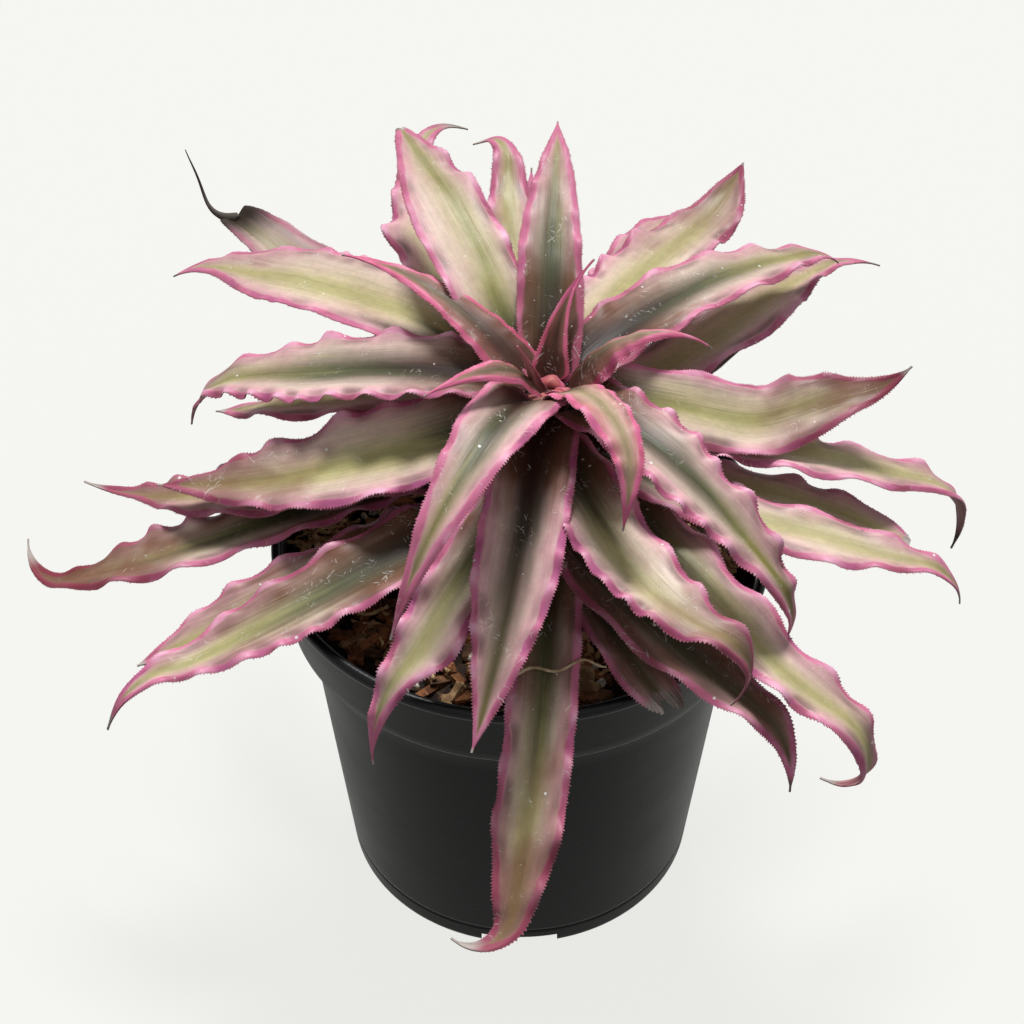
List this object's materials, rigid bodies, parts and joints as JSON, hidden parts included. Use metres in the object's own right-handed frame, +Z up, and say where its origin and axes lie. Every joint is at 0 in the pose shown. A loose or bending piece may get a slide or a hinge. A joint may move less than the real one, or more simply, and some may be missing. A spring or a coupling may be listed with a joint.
{
  "type": "potted earth star",
  "caption": "Rosette of stiff, wavy-edged pink and olive leaves on a short stem, planted in bark mix in a plain black round nursery pot.",
  "frame": {"origin": "the middle of the pot's underside, on the surface that it stands on", "axes": "+Z is up along the pot's axis, -Y is the side that the picture's camera looks at, and +X is to the right of that view"},
  "size_m": [0.3158, 0.3153, 0.2228],
  "materials": {
    "pot_plastic": "satin black moulded plastic, faint grain and ring marks",
    "potting_mix": "rough dark bark chips with pale perlite and tan root bits",
    "old_stem": "matt brown old leaf bases",
    "leaf": "satin; olive centre stripe, cream and pinkish-beige flanks with fine lengthwise streaks, bright pink toothed margins, white scurf",
    "young_leaf": "satin; pink to dark olive, pink margins",
    "dry_leaf": "matt dry dark brown with pale patches"
  },
  "bodies": {
    "root": {"pot": "pot_plastic", "potting_mix": "potting_mix", "stem": "old_stem", "crown_bud": "young_leaf", "left_leaf_1": "leaf", "left_leaf_2": "leaf", "left_leaf_3": "leaf", "left_leaf_4": "leaf", "left_leaf_5": "leaf", "left_leaf_6": "leaf", "left_leaf_7": "leaf", "left_leaf_8": "leaf", "left_leaf_9": "leaf", "front_leaf_1": "leaf", "front_leaf_2": "leaf", "front_leaf_3": "leaf", "front_leaf_4": "leaf", "front_leaf_5": "leaf", "front_leaf_6": "leaf", "front_leaf_7": "leaf", "front_leaf_8": "leaf", "front_leaf_9": "leaf", "front_leaf_10": "leaf", "right_leaf_1": "leaf", "right_leaf_2": "leaf", "right_leaf_3": "leaf", "right_leaf_4": "leaf", "right_leaf_5": "leaf", "right_leaf_6": "leaf", "right_leaf_7": "leaf", "right_leaf_8": "leaf", "back_leaf_1": "leaf", "back_leaf_2": "leaf", "back_leaf_3": "leaf", "back_leaf_4": "leaf", "back_leaf_5": "leaf", "crown_leaf_1": "young_leaf", "crown_leaf_2": "young_leaf", "crown_leaf_3": "young_leaf", "crown_leaf_4": "young_leaf", "crown_leaf_5": "young_leaf", "crown_leaf_6": "young_leaf", "dry_leaf_right": "dry_leaf"}
  },
  "joints": []
}
